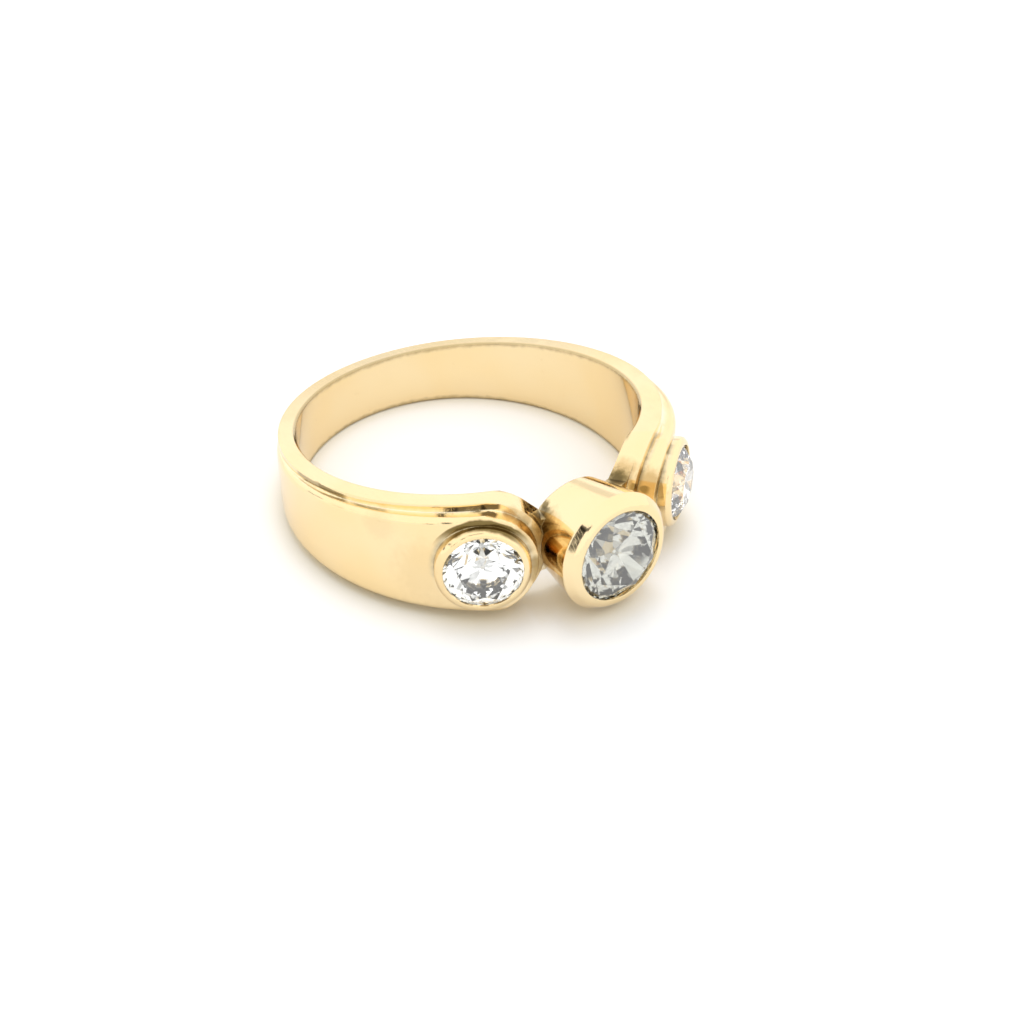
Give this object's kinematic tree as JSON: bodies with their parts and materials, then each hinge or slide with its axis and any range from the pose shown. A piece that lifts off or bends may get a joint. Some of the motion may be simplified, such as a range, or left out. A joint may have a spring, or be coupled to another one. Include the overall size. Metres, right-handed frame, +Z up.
{
  "type": "three stone finger ring",
  "caption": "Polished gold band with stepped shoulders that widen towards a raised round bezel between two smaller round bezels, each holding a clear cut stone.",
  "frame": {"origin": "middle of the bounding box's underside: the ring lies on its lower side face at Z = 0", "axes": "+Z up; the centre stone faces -Y; the finger hole's axis leans 4.7 degrees from +Z towards +Y, because the shank narrows towards the back; the left stone is on the -X side"},
  "size_m": [0.0198, 0.0222, 0.0062],
  "materials": {
    "gold": "polished yellow gold with fine wear scratches",
    "centre_stone": "clear polished facets with darker grey reflections",
    "side_stone": "clear bright polished facets"
  },
  "bodies": {
    "root": {"ring_mount": "gold", "centre_stone": "centre_stone", "side_stone_left": "side_stone", "side_stone_right": "side_stone"}
  },
  "joints": []
}
